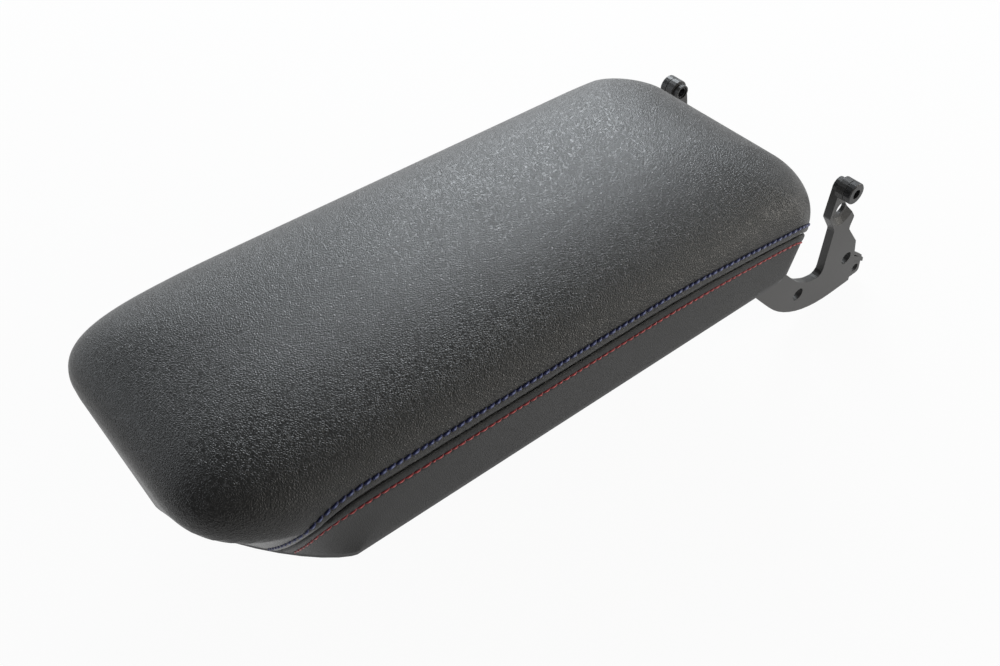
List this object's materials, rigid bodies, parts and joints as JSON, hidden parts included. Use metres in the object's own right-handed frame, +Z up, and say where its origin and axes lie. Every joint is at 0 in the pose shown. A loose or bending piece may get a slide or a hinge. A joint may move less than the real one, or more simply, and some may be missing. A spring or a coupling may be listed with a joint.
{
  "type": "center console armrest",
  "caption": "Padded leather console lid with stitched side seams, carried on a pair of gooseneck hinge arms at its rear.",
  "frame": {"origin": "on the hinge axis, midway between the two arms", "axes": "+X to the right across the lid, -Y to the front of the lid, +Z up out of the padding"},
  "size_m": [0.1636, 0.4458, 0.1336],
  "materials": {
    "black_leather": "embossed pebble grain, semi-matt",
    "side_leather": "fine grain, semi-matt",
    "grey_foam": "moulded open-cell foam",
    "carrier_plastic": "moulded",
    "liner_plastic": "fine moulded texture",
    "arm_plastic": "moulded, satin",
    "bush_plastic": "moulded, satin",
    "black_rubber": "matt",
    "zinc_steel": "zinc plated",
    "latch_plastic": "fine moulded texture"
  },
  "bodies": {
    "lid": {"top_cover": "black_leather", "side_cover_right": "side_leather", "side_cover_left": "side_leather", "foam_pad": "grey_foam", "carrier": "carrier_plastic", "liner_panel": "liner_plastic", "hinge_arm_right": "arm_plastic", "hinge_bush_right": "bush_plastic", "arm_screw_right_1": "zinc_steel", "arm_screw_right_2": "zinc_steel", "arm_screw_right_3": "zinc_steel", "hinge_arm_left": "arm_plastic", "hinge_bush_left": "bush_plastic", "arm_screw_left_1": "zinc_steel", "arm_screw_left_2": "zinc_steel", "arm_screw_left_3": "zinc_steel", "liner_screw_1": "zinc_steel", "liner_screw_2": "zinc_steel", "liner_screw_3": "zinc_steel", "liner_screw_4": "zinc_steel", "liner_screw_5": "zinc_steel", "liner_screw_6": "zinc_steel", "bumper_1": "black_rubber", "bumper_2": "black_rubber", "bumper_3": "black_rubber", "bumper_4": "black_rubber", "latch_pin": "zinc_steel", "latch_spring": "zinc_steel"},
    "latch": {"latch_lever": "latch_plastic"}
  },
  "joints": [
    {"name": "latch_hinge", "type": "hinge", "parent": "lid", "child": "latch", "pos_m": [0, -0.3508, -0.0164], "axis": [-1, 0, 0], "range_deg": [0, 15], "stiffness_Nm_per_rad": 0.15, "springref_deg": -2.86, "deforming": ["latch_spring"]}
  ]
}
